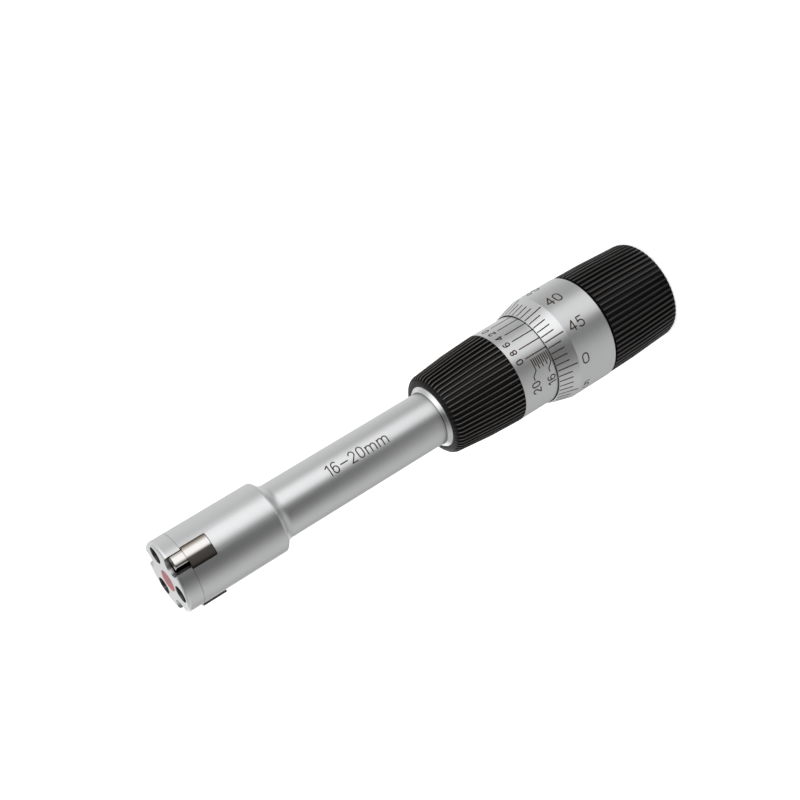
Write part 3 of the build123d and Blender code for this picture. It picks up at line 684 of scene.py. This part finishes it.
class MICROMETER_OT_anvils(bpy.types.Operator):
    """Finish the three lapped anvils"""

    bl_idname = "micrometer.anvils"
    bl_label = "Anvils"

    def execute(self, context):
        look = context.scene.micrometer_finish
        for i, name in enumerate(("anvil_1", "anvil_2", "anvil_3")):
            low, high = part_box(name)
            turn = look.anvil_phase + i * math.radians(120)
            finish_nodes([name], lapped_anvil(name + "_finish", look, turn, low.z, high.z))
        return {"FINISHED"}


class MICROMETER_OT_tube_mark(bpy.types.Operator):
    """Engrave the measuring range on the tube"""

    bl_idname = "micrometer.tube_mark"
    bl_label = "Tube Mark"

    def execute(self, context):
        mark = context.scene.micrometer_tube_mark
        radius = radius_near("head_body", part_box("barrel")[1].z)
        strokes, _ = lettering("16-20mm", mark.height)
        lines = [[(mark.start - x, mark.angle - y / radius) for x, y in line] for line in strokes]
        engrave("tube_range_mark", lines, mark.line_width, lambda z: radius, "frame")
        return {"FINISHED"}


class MICROMETER_OT_grip(bpy.types.Operator):
    """Finish the barrel and the ribbed grip on it"""

    bl_idname = "micrometer.grip"
    bl_label = "Barrel And Grip"

    def execute(self, context):
        look = context.scene.micrometer_finish
        finish_nodes(["barrel"], seamed_nose(look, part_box("barrel")[1].z))
        low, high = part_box("front_grip")
        black = ribbed_moulding("grip_moulding", look, look.grip_ribs, look.grip_crest,
                                look.grip_crest_colour, low.z, high.z - look.grip_nose)
        finish_nodes(["front_grip"], black)
        return {"FINISHED"}


class MICROMETER_OT_sleeve(bpy.types.Operator):
    """Finish the sleeve and engrave its half-millimetre scale and vernier"""

    bl_idname = "micrometer.sleeve"
    bl_label = "Graduated Sleeve"

    def execute(self, context):
        finish_nodes(["sleeve"], satin_chrome())
        scale = context.scene.micrometer_sleeve
        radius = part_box("sleeve")[1].x
        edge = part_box("thimble")[1].z
        index = scale.index_angle
        lines, figures = [], []

        # Vernier lines run under the thimble; their figures stand in front of them
        for i, figure in enumerate(VERNIER_FIGURES):
            angle = index - i * scale.vernier_step
            lines.append([(VERNIER_START, angle), (edge - VERNIER_HIDDEN, angle)])
            strokes, width = lettering(figure, scale.figure_height, SLEEVE_STRETCH)
            start = angle + width / 2 / radius
            figures += [[(VERNIER_FOOT + y, start - x / radius) for x, y in line] for line in strokes]

        # Half-millimetre marks, long ones on the whole millimetres
        for i in range(MARK_COUNT):
            z = scale.first_mark + i * MARK_PITCH
            end = WHOLE_MARK_END if i % 2 == 0 else HALF_MARK_END
            lines.append([(z, index + MARK_START), (z, index + end)])

        # Cranked lines to the figures of the first and last millimetre
        for figure, place in (("16", 0), ("20", MARK_COUNT - 1)):
            z = scale.first_mark + place * MARK_PITCH
            points = [(z + up * MM, index + math.radians(turn)) for up, turn in CRANK]
            lines += [points[i:i + 2] for i in range(len(CRANK) - 1)]
            strokes, _ = lettering(figure, scale.range_figure_height)
            foot = z + CRANK_FIGURE_LIFT
            start = index + CRANK_FIGURE_ANGLE
            figures += [[(foot + y, start - x / radius) for x, y in line] for line in strokes]

        engrave("sleeve_lines", lines, scale.line_width, lambda z: radius, "frame")
        engrave("sleeve_figures", figures, scale.line_width * SLEEVE_STROKE, lambda z: radius, "frame")
        return {"FINISHED"}


class MICROMETER_OT_thimble(bpy.types.Operator):
    """Finish the thimble and engrave its divisions and figures"""

    bl_idname = "micrometer.thimble"
    bl_label = "Graduated Thimble"

    def execute(self, context):
        finish_nodes(["thimble"], satin_chrome())
        scale = context.scene.micrometer_thimble
        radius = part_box("thimble")[1].x
        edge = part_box("thimble")[1].z
        edge_radius = radius_near("thimble", edge)
        length = scale.taper_length
        step = 2 * math.pi / scale.divisions

        def radius_at(z):
            return radius + (edge_radius - radius) * max(0.0, 1 - (edge - z) / length)

        ticks, figures = [], []
        for i in range(scale.divisions):
            value = (FIRST_VALUE + i) % scale.divisions
            angle = scale.mark_angle + i * step
            has_figure = value % FIGURE_EVERY == 0
            reach = LONG_TICK if has_figure else SHORT_TICK
            ticks.append([(edge - TICK_START * length, angle), (edge - reach * length, angle)])
            if has_figure:
                strokes, _ = lettering(str(value), scale.figure_height, THIMBLE_STRETCH)
                start = edge - length - (ONE_DIGIT_GAP if value < 10 else TWO_DIGIT_GAP)
                half = scale.figure_height / 2
                figures += [[(start - x, angle - (y - half) / radius) for x, y in line] for line in strokes]
        engrave("thimble_divisions", ticks, scale.line_width, radius_at, "thimble")
        engrave("thimble_figures", figures, scale.line_width * THIMBLE_STROKE, radius_at, "thimble")
        return {"FINISHED"}


class MICROMETER_OT_knob(bpy.types.Operator):
    """Finish the ribbed ratchet knob and its end disc"""

    bl_idname = "micrometer.knob"
    bl_label = "Ratchet Knob"

    def execute(self, context):
        low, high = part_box("knob")
        look = context.scene.micrometer_finish
        black = ribbed_moulding("knob_moulding", look, look.knob_ribs, look.knob_crest,
                                look.knob_crest_colour, low.z + look.knob_rim, high.z)
        finish_nodes(["knob"], black)
        finish_nodes(["knob_end_disc"], black_moulding())
        return {"FINISHED"}


class MICROMETER_OT_inside(bpy.types.Operator):
    """Finish the pieces inside: screw, rods, springs, ball and ratchet"""

    bl_idname = "micrometer.inside"
    bl_label = "Inner Pieces"

    def execute(self, context):
        look = context.scene.micrometer_finish
        ground = turned_metal("ground_steel_finish", look.steel_colour, 0.2, 0.03, 0.0008 * MM, 0.0002 * MM)
        finish_nodes(["measuring_cone", "push_rod", "thrust_ball", "spindle"], ground)
        finish_nodes(["ratchet_body", "pawl_ring"], ground)
        darker = [c * 0.8 for c in look.steel_colour]
        spring = turned_metal("spring_steel_finish", darker, 0.3, 0.05, 0.001 * MM, 0.0005 * MM)
        finish_nodes(["rod_spring", "ratchet_spring"], spring)
        finish_nodes(["leaf_spring_1", "leaf_spring_2", "leaf_spring_3"], blackened_steel())
        finish_nodes(["adjusting_ring", "ratchet_washer", "ratchet_screw"], blackened_steel())
        bronze = turned_metal("bush_bronze_finish", look.bronze_colour, 0.28, 0.05, 0.001 * MM, 0.0005 * MM)
        finish_nodes(["rod_bush"], bronze)
        return {"FINISHED"}


# Studio

# What the metal mirrors round the horizon, by angle from the near side and brightness:
# a wide soft box, a black card beside it and the grey room, on the floor far from the tool and
# close to it, on the walls and high overhead
FAR_ROOM = ((-180, 0.8), (-170, 1.3), (-158, 1.25), (-149, 0.42), (-135, 0.44), (-120, 0.62), (-92, 0.64),
            (-75, 0.54), (-50, 0.21), (-36, 0.13), (-20, 0.14), (-8, 0.17), (5, 0.18), (12, 1.3), (55, 1.3),
            (66, 0.62), (88, 0.63), (105, 0.76), (150, 0.78), (180, 0.85))
NEAR_ROOM = ((-180, 0.85), (-170, 1.1), (-160, 1.05), (-151, 0.42), (-135, 0.5), (-120, 0.56), (-92, 0.58),
             (-70, 0.6), (-50, 0.6), (-34, 0.52), (-20, 0.34), (-8, 0.22), (4, 0.16), (14, 0.9), (50, 0.93),
             (60, 0.47), (70, 0.42), (88, 0.46), (105, 0.62), (130, 0.8), (150, 0.9), (180, 0.85))
WALL_ROOM = ((-180, 0.85), (-170, 1.3), (-152, 1.3), (-144, 0.75), (-135, 0.5), (-120, 0.66), (-92, 0.72),
             (-75, 0.62), (-50, 0.27), (-36, 0.12), (-8, 0.1), (5, 0.12), (12, 1.35), (55, 1.35), (66, 0.72),
             (80, 0.82), (105, 0.84), (120, 0.74), (135, 0.76), (150, 0.86), (180, 0.8))
HIGH_ROOM = ((-180, 0.45), (-150, 0.3), (-137, 0.25), (-127, 0.48), (-116, 0.55), (-103, 0.54), (-89, 0.32),
             (-70, 0.07), (-44, 0.05), (-15, 0.07), (0, 0.2), (14, 0.7), (35, 1.25), (60, 1.4), (90, 1.35),
             (102, 0.7), (115, 0.42), (130, 0.35), (145, 0.5), (180, 0.45))
# Distances from the tool between which the near floor passes into the far one, and upward parts of
# a direction between which the walls pass into what is overhead
FLOOR_FADE = (0.045, 0.3)
OVERHEAD_FADE = (0.25, 0.75)
# What matt pieces get from all round, and how bright the world and the floor's own glow are
ROOM_GREY = 0.446
WORLD_STRENGTH = 1.12
FLOOR_GLOW = 0.6

# Name, place, side and power of the soft lamps, and what they look at
LAMPS = (
    ("key_soft_box", (0.45, -0.35, 0.55), 0.5, 2.0),
    ("fill_soft_box", (-0.5, -0.3, 0.5), 0.6, 1.2),
    ("back_soft_box", (0.1, 0.6, 0.5), 0.6, 1.2),
)
LAMP_TARGET = (0, 0, 0.06)


def studio_ramp(tree, x, y, stops):
    """The brightness of the room by the angle of a direction round the tool."""
    turn = maths(tree, "ARCTAN2", x, maths(tree, "MULTIPLY", y, -1.0))
    share = mapped(tree, turn, -math.pi, math.pi)
    return ramped(tree, share, [((angle + 180) / 360, (level,) * 3) for angle, level in stops])


def floor_finish(colour):
    """White floor that keeps the tool's shadow; the metal mirrors soft box, card and room on it."""
    material, tree, shader = new_finish("studio_floor")
    tree.nodes.remove(shader)
    rays = add(tree, "LightPath").outputs
    matt = add(tree, "BsdfDiffuse", {"Color": (*colour, 1)}).outputs["BSDF"]
    strength = maths(tree, "MULTIPLY", rays["Is Camera Ray"], FLOOR_GLOW)
    glow = add(tree, "Emission", {"Strength": strength}).outputs["Emission"]
    seen = add(tree, "AddShader", {0: matt, 1: glow}).outputs["Shader"]

    x, y, _ = place_of(tree)
    place = add(tree, "TexCoord").outputs["Object"]
    away = add(tree, "VectorMath", {0: place}, operation="LENGTH").outputs["Value"]
    near, far = (studio_ramp(tree, x, y, room) for room in (NEAR_ROOM, FAR_ROOM))
    room = between(tree, mapped(tree, away, *FLOOR_FADE), near, far)
    mirrored = add(tree, "Emission", {"Color": room}).outputs["Emission"]
    mix = add(tree, "MixShader", {0: rays["Is Glossy Ray"], 1: seen, 2: mirrored})
    tree.links.new(mix.outputs["Shader"], tree.nodes["Material Output"].inputs["Surface"])
    return material


def studio_world():
    """Even light all round, white to the camera, and the same soft box, card and room to the metal."""
    world = bpy.data.worlds.new("studio_world")
    world.use_nodes = True
    tree = world.node_tree
    x, y, z = place_of(tree, "Generated")
    walls, overhead = (studio_ramp(tree, x, y, room) for room in (WALL_ROOM, HIGH_ROOM))
    mirrored = between(tree, mapped(tree, z, *OVERHEAD_FADE), walls, overhead)
    rays = add(tree, "LightPath").outputs
    plain = between(tree, rays["Is Glossy Ray"], (ROOM_GREY,) * 3, mirrored)
    background = tree.nodes["Background"]
    background.inputs["Strength"].default_value = WORLD_STRENGTH
    tree.links.new(between(tree, rays["Is Camera Ray"], plain, (1, 1, 1)), background.inputs["Color"])
    bpy.context.scene.world = world


def soft_box(name, place, side, power):
    """A large soft lamp that looks at the tool and doesn't show in its metal."""
    lamp = bpy.data.lights.new(name, "AREA")
    lamp.shape = "RECTANGLE"
    lamp.size = side
    lamp.size_y = side
    lamp.energy = power
    holder = bpy.data.objects.new(name, lamp)
    holder.location = place
    holder.rotation_euler = (Vector(LAMP_TARGET) - Vector(place)).to_track_quat("-Z", "Y").to_euler()
    holder.visible_glossy = False
    bpy.context.scene.collection.objects.link(holder)


class MICROMETER_OT_stage(bpy.types.Operator):
    """Set up the floor, the soft light and the camera"""

    bl_idname = "micrometer.stage"
    bl_label = "Stage"

    def execute(self, context):
        studio = context.scene.micrometer_studio
        half = studio.floor_size / 2
        corners = [(-half, -half, 0), (half, -half, 0), (half, half, 0), (-half, half, 0)]
        mesh = bpy.data.meshes.new("studio_floor")
        mesh.from_pydata(corners, [], [(0, 1, 2, 3)])
        floor = bpy.data.objects.new("studio_floor", mesh)
        context.scene.collection.objects.link(floor)
        mesh.materials.append(floor_finish(studio.floor_colour))
        studio_world()
        for lamp in LAMPS:
            soft_box(*lamp)
        camera = bpy.data.objects.new("photo_camera", bpy.data.cameras.new("photo_camera"))
        camera.location = studio.camera_place
        camera.rotation_euler = studio.camera_turn
        camera.data.lens = studio.lens
        camera.data.sensor_width = 36
        camera.data.clip_start = 0.01
        camera.data.clip_end = 20
        context.scene.collection.objects.link(camera)
        context.scene.camera = camera
        context.scene.view_settings.view_transform = "Standard"
        return {"FINISHED"}


class MICROMETER_PT_panel(bpy.types.Panel):
    """Buttons for the pieces of the micrometer and its stage"""

    bl_idname = "MICROMETER_PT_panel"
    bl_label = "Inside Micrometer"
    bl_space_type = "VIEW_3D"
    bl_region_type = "UI"
    bl_category = "Micrometer"

    def draw(self, context):
        for operator in OPERATORS:
            self.layout.operator(operator.bl_idname)
        for group in SETTINGS:
            settings = getattr(context.scene, group)
            box = self.layout.box()
            for name in settings.__annotations__:
                box.prop(settings, name)


SETTINGS = {
    "micrometer_finish": FinishSettings,
    "micrometer_sleeve": SleeveScaleSettings,
    "micrometer_thimble": ThimbleScaleSettings,
    "micrometer_tube_mark": TubeMarkSettings,
    "micrometer_studio": StudioSettings,
}
OPERATORS = (
    MICROMETER_OT_head, MICROMETER_OT_anvils, MICROMETER_OT_tube_mark, MICROMETER_OT_grip,
    MICROMETER_OT_sleeve, MICROMETER_OT_thimble, MICROMETER_OT_knob, MICROMETER_OT_inside,
    MICROMETER_OT_stage,
)


def register():
    for settings in SETTINGS.values():
        bpy.utils.register_class(settings)
    for name, settings in SETTINGS.items():
        setattr(bpy.types.Scene, name, PointerProperty(type=settings))
    for operator in OPERATORS:
        bpy.utils.register_class(operator)
    bpy.utils.register_class(MICROMETER_PT_panel)


def unregister():
    bpy.utils.unregister_class(MICROMETER_PT_panel)
    for operator in reversed(OPERATORS):
        bpy.utils.unregister_class(operator)
    for name, settings in reversed(SETTINGS.items()):
        delattr(bpy.types.Scene, name)
        bpy.utils.unregister_class(settings)


def main():
    register()
    bpy.ops.micrometer.head()
    bpy.ops.micrometer.anvils()
    bpy.ops.micrometer.tube_mark()
    bpy.ops.micrometer.grip()
    bpy.ops.micrometer.sleeve()
    bpy.ops.micrometer.thimble()
    bpy.ops.micrometer.knob()
    bpy.ops.micrometer.inside()
    bpy.ops.micrometer.stage()


if __name__ == "__main__":
    main()
